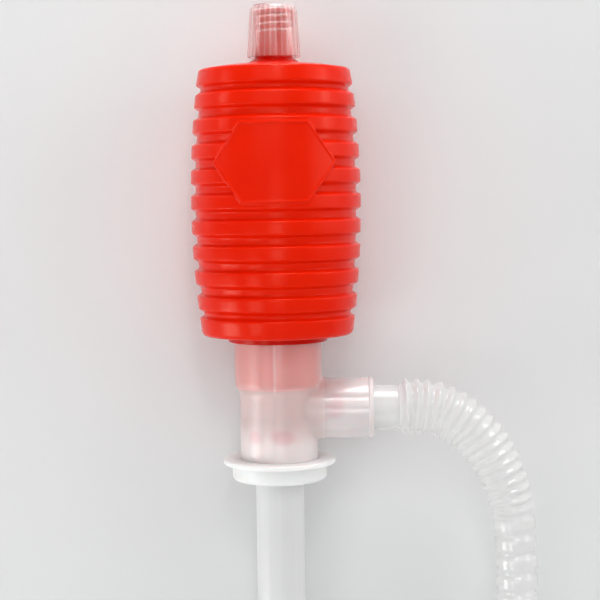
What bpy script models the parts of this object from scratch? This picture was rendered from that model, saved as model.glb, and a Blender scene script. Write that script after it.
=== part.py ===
"""Hand siphon pump: a ribbed squeeze bulb on a T-shaped valve body with two flap valves, a
collar that rests on the container's mouth, a suction pipe with a strainer foot, and a
corrugated delivery hose.

Units are metres. +Z runs up the pump's axis, the outlet points to +X and the bulb's panel
faces -Y. The origin is on the axis, at the underside of the collar's flange.
"""

import math

import bmesh
import bpy

# Fits and facets
CLEARANCE = 0.0003  # between two pieces that touch or run in each other
EDGE_BREAK = 0.0004  # broken edge of a moulded rim
CUT_MARGIN = 0.002  # how far a cutter runs past the faces it cuts
WELD = 0.000001
ROUND_SEGMENTS = 32
SMALL_SEGMENTS = 20
SHARP_ANGLE = math.radians(35)

# Collar, whose flange rests on the rim of the container
FLANGE_DIAMETER = 0.045
FLANGE_THICKNESS = 0.002
COLLAR_DIAMETER = 0.038
COLLAR_DEPTH = 0.0066
COLLAR_FLOOR = 0.0021
COLLAR_ROUNDING = 0.0015

# Valve body: a straight tube with a cup for the bulb on top and a branch to the side
BODY_DIAMETER = 0.0312
BODY_WALL = 0.0018
CUP_DIAMETER = 0.035
CUP_WALL = 0.0018
CUP_FLOOR_HEIGHT = 0.0328
CUP_RIM_HEIGHT = 0.0499
SEAT_HEIGHT = 0.0112  # top face of the suction valve's plate
BEAD_DEPTH = 0.0011  # how far the bead above that plate stands into the bore
BEAD_LENGTH = 0.001
BRANCH_HEIGHT = 0.0219
BRANCH_DIAMETER = 0.0243
BRANCH_WALL = 0.002
BRANCH_LENGTH = 0.038  # from the pump's axis to the mouth
BRANCH_STEP = 0.0159  # where the branch's bore narrows and stops the discharge valve
STEP_WIDTH = 0.0013
MOUTH_RING_HEIGHT = 0.0004
MOUTH_RING_LENGTH = 0.0014
ROOT_FLARE = 0.0012  # how much wider the branch is where it meets the body

# Flap valves
PLATE_THICKNESS = 0.002
LIP_WIDTH = 0.0013
LIP_HEIGHT = 0.0012
FLAP_THICKNESS = 0.0009
FLAP_OVERLAP = 0.0018
PIN_DIAMETER = 0.0014
KNUCKLE_DIAMETER = 0.0032
KNUCKLE_LENGTH = 0.0044
EAR_THICKNESS = 0.0012
EAR_MARGIN = 0.0007  # from the ears' corners to the bore around them
FLAP_MARGIN = 0.0004  # from the ears to the flap's rim
SPIDER_BAR = 0.0012
SOCKET_DEPTH = 0.009
SOCKET_WALL = 0.0017

# Squeeze bulb
BULB_DIAMETER = 0.068
BULB_HEIGHT = 0.1067
BULB_BULGE = 0.0038  # how far the barrel draws in from its middle to its ends
BULB_WALL = 0.0015
RIB_COUNT = 11
RIB_WIDTH = 0.0049
END_RIB_WIDTH = 0.0072
RIB_DEPTH = 0.0019
RIB_FLANK = 0.0015
RIB_ROUNDING = 0.0007
SHOULDER_ROUNDING = 0.0026
SHOULDER_DROP = 0.0038  # from the top to the middle of the shoulder's rounding
SHOULDER_DOME = ((0.0107, 0.0018), (0.0165, 0.0013), (0.0224, 0.0004), (0.0272, -0.0008))
DOME_LINING = ((0.0262, -0.0025), (0.0224, -0.0011), (0.0107, 0.0003))
BASE_ROUNDING = 0.0018
BOSS_DIAMETER = 0.0398
BOSS_HEIGHT = 0.0018
PLUG_WALL = 0.0016
PLUG_CHAMFER = 0.001
PANEL_WIDTH = 0.0475
PANEL_HEIGHT = 0.0312
PANEL_FLAT = 0.0262  # length of the panel's level edges
PANEL_CENTRE = 0.0152  # above the middle of the barrel
PANEL_PROUD = 0.0003
PANEL_ROOT = 0.0024  # how deep the panel's skin reaches into the barrel's wall
PANEL_STEPS = 8
NECK_DIAMETER = 0.015
NECK_WALL = 0.002
NECK_HEIGHT = 0.0208
NECK_CONE_TOP = 0.0034  # where the neck's root ends, above the barrel

# Vent cap on the neck
LINER_THICKNESS = 0.0012
CAP_LENGTH = 0.021
CAP_ROOF = 0.0021
CAP_BASE_DIAMETER = 0.02135
CAP_TOP_DIAMETER = 0.0187
CAP_ROUNDING = 0.003
CAP_ROUNDING_STEPS = 4

# Suction pipe and its strainer foot
PIPE_DIAMETER = 0.0193
PIPE_WALL = 0.0015
PIPE_LENGTH = 0.39
FOOT_WALL = 0.0013
FOOT_SLEEVE = 0.014
FOOT_FLOOR = 0.0016
FOOT_CHAMFER = 0.0012
SLOT_PAIRS = 3
SLOT_WIDTH = 0.0026
SLOT_HEIGHT = 0.0075
SLOT_LAND = 0.0011  # above and below each slot

# Delivery hose
HOSE_PLUG_LENGTH = 0.0062
HOSE_NECK_LENGTH = 0.010
HOSE_NECK_DIAMETER = 0.018
HOSE_BORE = 0.0148
BELLOWS_DIAMETER = 0.0236  # at the inlet, narrowing along the bellows
BELLOWS_END_DIAMETER = 0.018
HOSE_DIAMETER = 0.017
BELLOWS_LENGTH = 0.072  # along the hose, from its inlet
BELLOWS_STEP = 0.003  # from the end of the bellows to the hose's own diameter
END_CUFF_DIAMETER = 0.0198
END_CUFF_LENGTH = 0.018
END_RIM_DIAMETER = 0.0212
END_RIM_LENGTH = 0.003
HOSE_POINTS = 48
HOSE_BEVEL_RESOLUTION = 3

# The hose's route from its inlet as (out, up): level, round the bend, then hanging
HOSE_ROUTE = (
    (0.0, 0.0),
    (0.0077, 0.0001),
    (0.0162, -0.0011),
    (0.0242, -0.0051),
    (0.0314, -0.0114),
    (0.0374, -0.0194),
    (0.0421, -0.0285),
    (0.0450, -0.0379),
    (0.0466, -0.0487),
    (0.0474, -0.0607),
    (0.0478, -0.0769),
    (0.0480, -0.1100),
    (0.0482, -0.1550),
    (0.0480, -0.2050),
    (0.0475, -0.2600),
    (0.0470, -0.3150),
    (0.0469, -0.3450),
    (0.0469, -0.3786),
)

# Sizes that follow
BODY_BORE_RADIUS = BODY_DIAMETER / 2 - BODY_WALL
BEAD_RADIUS = BODY_BORE_RADIUS - BEAD_DEPTH
BODY_FOOT_HEIGHT = COLLAR_FLOOR - COLLAR_DEPTH + CLEARANCE
CUP_BORE_RADIUS = CUP_DIAMETER / 2 - CUP_WALL
BRANCH_BORE_RADIUS = BRANCH_DIAMETER / 2 - BRANCH_WALL
KNUCKLE_RADIUS = KNUCKLE_DIAMETER / 2
PIN_HOLE_RADIUS = PIN_DIAMETER / 2 + CLEARANCE
HINGE_HEIGHT = KNUCKLE_RADIUS + CLEARANCE
EAR_INNER = KNUCKLE_LENGTH / 2 + CLEARANCE
EAR_OUTER = EAR_INNER + EAR_THICKNESS
PIPE_TOP = SEAT_HEIGHT - PLATE_THICKNESS - CLEARANCE
PIPE_BOTTOM = PIPE_TOP - PIPE_LENGTH
BULB_BOTTOM = CUP_RIM_HEIGHT + CLEARANCE + BOSS_HEIGHT
BULB_MIDDLE = BULB_BOTTOM + BULB_HEIGHT / 2
BULB_TOP = BULB_BOTTOM + BULB_HEIGHT
RIB_PITCH = (BULB_HEIGHT - END_RIB_WIDTH) / (RIB_COUNT - 1)
NECK_RADIUS = NECK_DIAMETER / 2
NECK_TOP = BULB_TOP + NECK_HEIGHT
CAP_BORE_RADIUS = NECK_RADIUS + CLEARANCE
CAP_CEILING = NECK_TOP + LINER_THICKNESS + 2 * CLEARANCE
CAP_BASE = CAP_CEILING + CAP_ROOF - CAP_LENGTH
HOSE_START = BRANCH_LENGTH + HOSE_NECK_LENGTH + CLEARANCE


def clear_scene():
    for old in list(bpy.data.objects):
        bpy.data.objects.remove(old, do_unlink=True)


def plastic(name, colour, roughness, transmission=0.0):
    """A moulded plastic, clear or milky where light passes through it."""
    material = bpy.data.materials.new(name)
    material.use_nodes = True
    shader = material.node_tree.nodes["Principled BSDF"]
    shader.inputs["Base Color"].default_value = (*colour, 1.0)
    shader.inputs["Roughness"].default_value = roughness
    shader.inputs["Metallic"].default_value = 0.0
    shader.inputs["Transmission Weight"].default_value = transmission
    material.diffuse_color = (*colour, 1.0)
    return material


def new_object(name, form):
    """Closes a bmesh and links its object to the scene."""
    mesh = bpy.data.meshes.new(name)
    form.to_mesh(mesh)
    form.free()
    piece = bpy.data.objects.new(name, mesh)
    bpy.context.scene.collection.objects.link(piece)
    return piece


def turned(name, profile, segments=ROUND_SEGMENTS, solid=False):
    """A form turned about its own Z axis from points of (radius, height). A hollow one closes
    on itself, and a solid one starts and ends on the axis."""
    form = bmesh.new()
    rail = [form.verts.new((radius, 0.0, height)) for radius, height in profile]
    pairs = list(zip(rail, rail[1:]))
    if not solid:
        pairs.append((rail[-1], rail[0]))
    lines = [form.edges.new(pair) for pair in pairs]
    bmesh.ops.spin(
        form,
        geom=rail + lines,
        axis=(0.0, 0.0, 1.0),
        cent=(0.0, 0.0, 0.0),
        angle=math.tau,
        steps=segments,
        use_merge=True,
    )
    bmesh.ops.remove_doubles(form, verts=form.verts, dist=WELD)
    bmesh.ops.recalc_face_normals(form, faces=form.faces)
    return new_object(name, form)


def extruded(name, outline, start, end):
    """A form with an outline of (x, z) points, extruded along Y from start to end."""
    form = bmesh.new()
    face = form.faces.new([form.verts.new((x, start, z)) for x, z in outline])
    grown = bmesh.ops.extrude_face_region(form, geom=[face])["geom"]
    moved = [vertex for vertex in grown if isinstance(vertex, bmesh.types.BMVert)]
    bmesh.ops.translate(form, verts=moved, vec=(0.0, end - start, 0.0))
    bmesh.ops.recalc_face_normals(form, faces=form.faces)
    return new_object(name, form)


def block(name, low, high):
    """A box between two corners."""
    outline = ((low[0], low[2]), (high[0], low[2]), (high[0], high[2]), (low[0], high[2]))
    return extruded(name, outline, low[1], high[1])


def arc(centre, radius, start, end, steps):
    """Points of (radius, height) round a centre, from one angle in degrees to another."""
    angles = [math.radians(start + (end - start) * step / steps) for step in range(steps + 1)]
    return [
        (centre[0] + radius * math.cos(angle), centre[1] + radius * math.sin(angle))
        for angle in angles
    ]


def combine(piece, tool, operation):
    """Joins a tool to a piece, cuts it away or keeps what they share, and drops the tool."""
    step = piece.modifiers.new(tool.name, "BOOLEAN")
    step.operation = operation
    step.solver = "EXACT"
    step.object = tool
    bpy.context.view_layer.update()
    graph = bpy.context.evaluated_depsgraph_get()
    result = bpy.data.meshes.new_from_object(piece.evaluated_get(graph))
    piece.modifiers.clear()
    piece.data = result
    bpy.data.objects.remove(tool)


def turn_along_x(tool, height):
    """Lays a form turned about Z along +X, at a height on the pump's axis."""
    tool.location = (0.0, 0.0, height)
    tool.rotation_euler = (0.0, math.pi / 2, 0.0)


def finish(piece, material):
    """Shades a piece smooth between its sharp edges and gives it its material."""
    piece.data.shade_smooth()
    piece.data.set_sharp_from_angle(angle=SHARP_ANGLE)
    piece.data.materials.clear()
    piece.data.materials.append(material)
    return piece


def barrel_radius(height):
    """Radius of the barrel over the bulb's ribs at a height."""
    share = (height - BULB_MIDDLE) / (BULB_HEIGHT / 2)
    return BULB_DIAMETER / 2 - BULB_BULGE * share**2


def rib_middle(rib):
    """Height of a rib's middle, counted from the top rib."""
    return BULB_TOP - END_RIB_WIDTH / 2 - rib * RIB_PITCH


def rib_profile():
    """The barrel's outer side, from the top rib down to the last."""
    points = []
    for rib in range(RIB_COUNT):
        width = END_RIB_WIDTH if rib in (0, RIB_COUNT - 1) else RIB_WIDTH
        middle = rib_middle(rib)
        top = middle + width / 2
        bottom = middle - width / 2
        crest = barrel_radius(middle)
        if rib > 0:
            points.append((crest - RIB_DEPTH, top + RIB_FLANK))
            points.append((crest - RIB_ROUNDING, top))
            points.append((crest, top - RIB_ROUNDING))
        else:
            points.extend((radius, BULB_TOP + rise) for radius, rise in SHOULDER_DOME)
            centre = (crest - SHOULDER_ROUNDING, BULB_TOP - SHOULDER_DROP)
            points.extend(arc(centre, SHOULDER_ROUNDING, 65, 0, 3))
        if rib < RIB_COUNT - 1:
            points.append((crest, bottom + RIB_ROUNDING))
            points.append((crest - RIB_ROUNDING, bottom))
            points.append((crest - RIB_DEPTH, bottom - RIB_FLANK))
        else:
            centre = (crest - BASE_ROUNDING, bottom + BASE_ROUNDING)
            points.extend(arc(centre, BASE_ROUNDING, 0, -90, 2))
    return points


def hollow_profile():
    """The barrel's inner side, from the bottom up, one wall inside the ribs and grooves."""
    points = []
    for rib in reversed(range(RIB_COUNT)):
        height = rib_middle(rib)
        points.append((barrel_radius(height) - BULB_WALL, height))
        if rib > 0:
            height += RIB_PITCH / 2
            points.append((barrel_radius(height) - RIB_DEPTH - BULB_WALL, height))
    end_radius = points[0][0] - BULB_WALL
    floor = BULB_BOTTOM + BULB_WALL
    dome = [(radius, BULB_TOP + rise) for radius, rise in DOME_LINING]
    return [(end_radius, floor), *points, *dome]


def panel_skin():
    """The smooth six-sided panel on the bulb's front, standing just proud of the ribs."""
    middle = BULB_MIDDLE + PANEL_CENTRE
    half_height = PANEL_HEIGHT / 2
    reach = half_height + CUT_MARGIN
    heights = [
        middle + reach - 2 * reach * step / PANEL_STEPS for step in range(PANEL_STEPS + 1)
    ]
    outside = [(barrel_radius(height) + PANEL_PROUD, height) for height in heights]
    inside = [(barrel_radius(height) - PANEL_ROOT, height) for height in reversed(heights)]
    skin = turned("panel_skin", outside + inside)
    outline = (
        (PANEL_WIDTH / 2, middle),
        (PANEL_FLAT / 2, middle + half_height),
        (-PANEL_FLAT / 2, middle + half_height),
        (-PANEL_WIDTH / 2, middle),
        (-PANEL_FLAT / 2, middle - half_height),
        (PANEL_FLAT / 2, middle - half_height),
    )
    prism = extruded("panel_prism", outline, -BULB_DIAMETER, -NECK_DIAMETER)
    combine(skin, prism, "INTERSECT")
    return skin


def make_bulb(material):
    """Blow-moulded bulb: a screw neck, ribbed barrel, bottom boss and the plug in the cup."""
    neck_bore = NECK_RADIUS - NECK_WALL
    plug_radius = CUP_BORE_RADIUS - CLEARANCE
    plug_end = CUP_FLOOR_HEIGHT + CLEARANCE
    boss_bottom = CUP_RIM_HEIGHT + CLEARANCE
    neck = [
        (neck_bore, NECK_TOP),
        (NECK_RADIUS - EDGE_BREAK, NECK_TOP),
        (NECK_RADIUS, NECK_TOP - EDGE_BREAK),
        (NECK_RADIUS, BULB_TOP + NECK_CONE_TOP),
    ]
    plug = [
        (BOSS_DIAMETER / 2, BULB_BOTTOM),
        (BOSS_DIAMETER / 2, boss_bottom),
        (plug_radius, boss_bottom),
        (plug_radius, plug_end + PLUG_CHAMFER),
        (plug_radius - PLUG_CHAMFER, plug_end),
        (plug_radius - PLUG_WALL, plug_end),
        (plug_radius - PLUG_WALL, BULB_BOTTOM + BULB_WALL),
    ]
    ceiling = [(neck_bore, BULB_TOP + DOME_LINING[-1][1])]
    bulb = turned("bulb", neck + rib_profile() + plug + hollow_profile() + ceiling)
    combine(bulb, panel_skin(), "UNION")
    return finish(bulb, material)


def make_cap_liner(material):
    """Sealing disc between the neck's rim and the cap's ceiling."""
    radius = CAP_BORE_RADIUS - CLEARANCE
    profile = ((0.0, LINER_THICKNESS), (radius, LINER_THICKNESS), (radius, 0.0), (0.0, 0.0))
    liner = turned("cap_liner", profile, solid=True)
    liner.location.z = NECK_TOP + CLEARANCE
    return finish(liner, material)


def make_vent_cap(material):
    """Tapered screw cap over the neck."""
    ceiling = CAP_LENGTH - CAP_ROOF
    corner = (CAP_TOP_DIAMETER / 2 - CAP_ROUNDING, CAP_LENGTH - CAP_ROUNDING)
    profile = [
        (0.0, CAP_LENGTH),
        *arc(corner, CAP_ROUNDING, 90, 0, CAP_ROUNDING_STEPS),
        (CAP_BASE_DIAMETER / 2, EDGE_BREAK),
        (CAP_BASE_DIAMETER / 2 - EDGE_BREAK, 0.0),
        (CAP_BORE_RADIUS, 0.0),
        (CAP_BORE_RADIUS, ceiling),
        (0.0, ceiling),
    ]
    cap = turned("vent_cap", profile, solid=True)
    cap.location.z = CAP_BASE
    return finish(cap, material)


def make_valve_body(material):
    """T-shaped body: cup, straight tube with a bead over the suction valve, and branch."""
    cup_radius = CUP_DIAMETER / 2
    body_radius = BODY_DIAMETER / 2
    cup_foot = CUP_FLOOR_HEIGHT - CUP_WALL
    shoulder = cup_foot - (cup_radius - body_radius) / 2
    outside = (
        (0.0, CUP_RIM_HEIGHT),
        (cup_radius - EDGE_BREAK, CUP_RIM_HEIGHT),
        (cup_radius, CUP_RIM_HEIGHT - EDGE_BREAK),
        (cup_radius, cup_foot),
        (body_radius, shoulder),
        (body_radius, BODY_FOOT_HEIGHT),
        (0.0, BODY_FOOT_HEIGHT),
    )
    bead_foot = SEAT_HEIGHT + CLEARANCE
    core = (
        (0.0, CUP_RIM_HEIGHT + CUT_MARGIN),
        (CUP_BORE_RADIUS, CUP_RIM_HEIGHT + CUT_MARGIN),
        (CUP_BORE_RADIUS, CUP_FLOOR_HEIGHT),
        (BODY_BORE_RADIUS, CUP_FLOOR_HEIGHT),
        (BODY_BORE_RADIUS, bead_foot + BEAD_LENGTH + BEAD_DEPTH),
        (BEAD_RADIUS, bead_foot + BEAD_LENGTH),
        (BEAD_RADIUS, bead_foot),
        (BODY_BORE_RADIUS, bead_foot),
        (BODY_BORE_RADIUS, BODY_FOOT_HEIGHT - CUT_MARGIN),
        (0.0, BODY_FOOT_HEIGHT - CUT_MARGIN),
    )
    branch_radius = BRANCH_DIAMETER / 2
    ring_radius = branch_radius + MOUTH_RING_HEIGHT
    ring_start = BRANCH_LENGTH - MOUTH_RING_LENGTH
    flare_start = BODY_BORE_RADIUS / 2
    branch = (
        (0.0, BRANCH_LENGTH),
        (ring_radius - EDGE_BREAK, BRANCH_LENGTH),
        (ring_radius, BRANCH_LENGTH - EDGE_BREAK),
        (ring_radius, ring_start),
        (branch_radius, ring_start),
        (branch_radius, body_radius + 2 * ROOT_FLARE),
        (branch_radius + ROOT_FLARE, flare_start),
        (0.0, flare_start),
    )
    port_radius = BRANCH_BORE_RADIUS - STEP_WIDTH
    branch_core = (
        (0.0, BRANCH_LENGTH + CUT_MARGIN),
        (BRANCH_BORE_RADIUS, BRANCH_LENGTH + CUT_MARGIN),
        (BRANCH_BORE_RADIUS, BRANCH_STEP),
        (port_radius, BRANCH_STEP),
        (port_radius, 0.0),
        (0.0, 0.0),
    )
    body = turned("valve_body", outside, solid=True)
    branch_tube = turned("branch_tube", branch, solid=True)
    branch_hole = turned("branch_hole", branch_core, solid=True)
    turn_along_x(branch_tube, BRANCH_HEIGHT)
    turn_along_x(branch_hole, BRANCH_HEIGHT)
    combine(body, branch_tube, "UNION")
    combine(body, turned("body_hole", core, solid=True), "DIFFERENCE")
    combine(body, branch_hole, "DIFFERENCE")
    return finish(body, material)


def hinge_offset(free_radius):
    """How far a flap's hinge lies from its valve's axis, so that the ears clear the bore."""
    corner = free_radius - EAR_MARGIN
    return math.sqrt(corner**2 - EAR_OUTER**2) - KNUCKLE_RADIUS


def flap_radius(free_radius):
    """Radius of a flap whose rim passes the ears with a small margin."""
    inner = hinge_offset(free_radius) - KNUCKLE_RADIUS - FLAP_MARGIN
    return math.hypot(inner, KNUCKLE_LENGTH / 2)


def pin_hole(name):
    """Cutter for a hinge pin's hole, along Y through the origin."""
    radius = PIN_HOLE_RADIUS
    reach = EAR_OUTER + CUT_MARGIN
    outline = arc((0.0, 0.0), radius, 0, 360, SMALL_SEGMENTS)[:-1]
    return extruded(name, outline, -reach, reach)


def make_valve_seat(name, plate_radius, free_radius, socket, material):
    """A plate with a raised lip round its port, a spider across it and two hinge ears. The
    plate's outlet face is at local z = 0, the hinge is on the -X side, and a socket below,
    where there is one, holds the pipe."""
    port = flap_radius(free_radius) - FLAP_OVERLAP
    profile = [
        (port, LIP_HEIGHT),
        (port + LIP_WIDTH, LIP_HEIGHT),
        (port + LIP_WIDTH, 0.0),
        (plate_radius, 0.0),
        (plate_radius, -PLATE_THICKNESS),
    ]
    if socket:
        bore = PIPE_DIAMETER / 2 + CLEARANCE
        foot = -PLATE_THICKNESS - SOCKET_DEPTH
        profile += [
            (bore + SOCKET_WALL, -PLATE_THICKNESS),
            (bore + SOCKET_WALL, foot),
            (bore, foot),
            (bore, -PLATE_THICKNESS),
        ]
    profile.append((port, -PLATE_THICKNESS))
    seat = turned(name, profile)
    length = port + LIP_WIDTH / 2
    half = SPIDER_BAR / 2
    bar_foot = EDGE_BREAK - PLATE_THICKNESS
    bar_top = -EDGE_BREAK
    across = block("bar_x", (-length, -half, bar_foot), (length, half, bar_top))
    along = block("bar_y", (-half, -length, bar_foot), (half, length, bar_top))
    combine(across, along, "UNION")
    combine(seat, across, "UNION")
    hinge = -hinge_offset(free_radius)
    root = -EDGE_BREAK
    crown = arc((hinge, HINGE_HEIGHT), KNUCKLE_RADIUS, 0, 180, SMALL_SEGMENTS // 2)
    outline = [(hinge + KNUCKLE_RADIUS, root), *crown, (hinge - KNUCKLE_RADIUS, root)]
    for side in (-1, 1):
        start, end = sorted((side * EAR_INNER, side * EAR_OUTER))
        combine(seat, extruded("ear", outline, start, end), "UNION")
    hole = pin_hole("ear_hole")
    hole.location = (hinge, 0.0, HINGE_HEIGHT)
    combine(seat, hole, "DIFFERENCE")
    return finish(seat, material)


def make_flap(name, free_radius, material):
    """A disc that lies on the valve's lip, with a knuckle on its pin. Its origin is on the
    hinge's axis."""
    radius = flap_radius(free_radius)
    offset = hinge_offset(free_radius)
    under = LIP_HEIGHT + CLEARANCE - HINGE_HEIGHT
    over = under + FLAP_THICKNESS
    half = KNUCKLE_LENGTH / 2
    profile = ((0.0, over), (radius, over), (radius, under), (0.0, under))
    disc = turned("disc", profile, solid=True)
    disc.location.x = offset
    outline = arc((0.0, 0.0), KNUCKLE_RADIUS, 0, 360, SMALL_SEGMENTS)[:-1]
    flap = extruded(name, outline, -half, half)
    combine(flap, block("link", (0.0, -half, under), (offset, half, over)), "UNION")
    combine(flap, disc, "UNION")
    combine(flap, pin_hole("knuckle_hole"), "DIFFERENCE")
    return finish(flap, material)


def make_pin(name, material):
    """The straight pin through the ears and the flap's knuckle."""
    outline = arc((0.0, 0.0), PIN_DIAMETER / 2, 0, 360, SMALL_SEGMENTS)[:-1]
    return finish(extruded(name, outline, -EAR_OUTER, EAR_OUTER), material)


def make_valve(name, plate_radius, free_radius, socket, materials):
    """Seat, flap and pin of one valve under an empty at the centre of the plate's face."""
    frame = bpy.data.objects.new(name, None)
    bpy.context.scene.collection.objects.link(frame)
    seat = make_valve_seat(
        name + "_seat", plate_radius, free_radius, socket, materials["seat"]
    )
    side = name.split("_", maxsplit=1)[0]
    flap = make_flap(side + "_flap", free_radius, materials["flap"])
    pin = make_pin(side + "_flap_pin", materials["pin"])
    for piece in (seat, flap, pin):
        piece.parent = frame
    for piece in (flap, pin):
        piece.location = (-hinge_offset(free_radius), 0.0, HINGE_HEIGHT)
    return frame


def make_collar(material):
    """Moulded collar: the flange, the socket for the body's foot and the hole for the pipe."""
    socket_radius = BODY_DIAMETER / 2 + CLEARANCE
    hole_radius = PIPE_DIAMETER / 2 + CLEARANCE
    floor = COLLAR_FLOOR - COLLAR_DEPTH
    corner = (COLLAR_DIAMETER / 2 - COLLAR_ROUNDING, COLLAR_ROUNDING - COLLAR_DEPTH)
    profile = [
        (socket_radius, FLANGE_THICKNESS),
        (FLANGE_DIAMETER / 2 - EDGE_BREAK, FLANGE_THICKNESS),
        (FLANGE_DIAMETER / 2, FLANGE_THICKNESS - EDGE_BREAK),
        (FLANGE_DIAMETER / 2, 0.0),
        (COLLAR_DIAMETER / 2, 0.0),
        *arc(corner, COLLAR_ROUNDING, 0, -90, 3),
        (hole_radius, -COLLAR_DEPTH),
        (hole_radius, floor),
        (socket_radius, floor),
    ]
    return finish(turned("collar", profile), material)


def make_suction_pipe(material):
    """Straight pipe from the suction valve's socket down to the foot."""
    radius = PIPE_DIAMETER / 2
    bore = radius - PIPE_WALL
    profile = ((bore, PIPE_TOP), (radius, PIPE_TOP), (radius, PIPE_BOTTOM), (bore, PIPE_BOTTOM))
    return finish(turned("suction_pipe", profile), material)


def make_foot_strainer(material):
    """Closed press-on foot with upright slots that keep dirt out of the pipe."""
    bore = PIPE_DIAMETER / 2 + CLEARANCE
    radius = bore + FOOT_WALL
    ledge = PIPE_BOTTOM - CLEARANCE
    chamber = PIPE_DIAMETER / 2 - PIPE_WALL
    slot_top = ledge - SLOT_LAND
    slot_foot = slot_top - SLOT_HEIGHT
    floor = slot_foot - SLOT_LAND
    base = floor - FOOT_FLOOR
    profile = [
        (0.0, floor),
        (chamber, floor),
        (chamber, ledge),
        (bore, ledge),
        (bore, ledge + FOOT_SLEEVE),
        (radius - EDGE_BREAK, ledge + FOOT_SLEEVE),
        (radius, ledge + FOOT_SLEEVE - EDGE_BREAK),
        (radius, base + FOOT_CHAMFER),
        (radius - FOOT_CHAMFER, base),
        (0.0, base),
    ]
    foot = turned("foot_strainer", profile, solid=True)
    reach = radius + CUT_MARGIN
    half = SLOT_WIDTH / 2
    for pair in range(SLOT_PAIRS):
        slot = block("slot", (-reach, -half, slot_foot), (reach, half, slot_top))
        slot.rotation_euler.z = math.pi * (pair + 0.5) / SLOT_PAIRS
        combine(foot, slot, "DIFFERENCE")
    return finish(foot, material)


def smooth_route(count):
    """Points along one smooth curve through the hose's route, evenly shared between them."""
    points = [HOSE_ROUTE[0], *HOSE_ROUTE, HOSE_ROUTE[-1]]
    spans = len(HOSE_ROUTE) - 1
    fine = []
    for span in range(spans):
        before, start, end, after = points[span : span + 4]
        for step in range(count):
            t = step / count
            fine.append(
                tuple(
                    0.5
                    * (
                        2 * b
                        + (c - a) * t
                        + (2 * a - 5 * b + 4 * c - d) * t**2
                        + (3 * b - a - 3 * c + d) * t**3
                    )
                    for a, b, c, d in zip(before, start, end, after)
                )
            )
    fine.append(HOSE_ROUTE[-1])
    travelled = [0.0]
    for start, end in zip(fine, fine[1:]):
        travelled.append(travelled[-1] + math.dist(start, end))
    even = []
    for step in range(count):
        goal = travelled[-1] * step / (count - 1)
        index = min(len(fine) - 2, sum(1 for length in travelled[1:] if length < goal))
        part = (goal - travelled[index]) / (travelled[index + 1] - travelled[index])
        start, end = fine[index], fine[index + 1]
        even.append((goal, tuple(a + (b - a) * part for a, b in zip(start, end))))
    return even


def make_hose(material):
    """The free hose as a plain tube: narrowing along the bellows, then of one size."""
    curve = bpy.data.curves.new("hose", "CURVE")
    curve.dimensions = "3D"
    curve.bevel_depth = BELLOWS_DIAMETER / 2
    curve.bevel_resolution = HOSE_BEVEL_RESOLUTION
    curve.use_fill_caps = True
    curve.materials.append(material)
    route = smooth_route(HOSE_POINTS)
    line = curve.splines.new("POLY")
    line.points.add(len(route) - 1)
    line.use_smooth = True
    for point, (along, (out, up)) in zip(line.points, route):
        point.co = (HOSE_START + out, 0.0, BRANCH_HEIGHT + up, 1.0)
        share = min(1.0, along / BELLOWS_LENGTH)
        diameter = BELLOWS_DIAMETER + (BELLOWS_END_DIAMETER - BELLOWS_DIAMETER) * share
        share = min(1.0, max(0.0, (along - BELLOWS_LENGTH) / BELLOWS_STEP))
        diameter += (HOSE_DIAMETER - BELLOWS_END_DIAMETER) * share
        point.radius = diameter / BELLOWS_DIAMETER
    hose = bpy.data.objects.new("hose", curve)
    bpy.context.scene.collection.objects.link(hose)
    return hose


def make_inlet_cuff(material):
    """Smooth end of the hose that plugs into the body's branch."""
    plug_radius = BRANCH_BORE_RADIUS - CLEARANCE
    neck_radius = HOSE_NECK_DIAMETER / 2
    bore = HOSE_BORE / 2
    plug_start = BRANCH_LENGTH - HOSE_PLUG_LENGTH
    neck_end = BRANCH_LENGTH + HOSE_NECK_LENGTH
    profile = (
        (bore, neck_end),
        (neck_radius, neck_end),
        (neck_radius, BRANCH_LENGTH),
        (plug_radius, BRANCH_LENGTH),
        (plug_radius, plug_start + EDGE_BREAK),
        (plug_radius - EDGE_BREAK, plug_start),
        (bore, plug_start),
    )
    cuff = turned("hose_inlet_cuff", profile)
    turn_along_x(cuff, BRANCH_HEIGHT)
    return finish(cuff, material)


def make_end_cuff(material):
    """Smooth cuff with a rim at the hose's free end."""
    radius = END_CUFF_DIAMETER / 2
    rim_radius = END_RIM_DIAMETER / 2
    bore = HOSE_BORE / 2
    foot = -END_CUFF_LENGTH
    profile = (
        (bore, 0.0),
        (radius - EDGE_BREAK, 0.0),
        (radius, -EDGE_BREAK),
        (radius, foot + END_RIM_LENGTH),
        (rim_radius, foot + END_RIM_LENGTH - EDGE_BREAK),
        (rim_radius, foot),
        (bore, foot),
    )
    cuff = turned("hose_end_cuff", profile)
    out, up = HOSE_ROUTE[-1]
    cuff.location = (HOSE_START + out, 0.0, BRANCH_HEIGHT + up - CLEARANCE)
    return finish(cuff, material)


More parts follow.
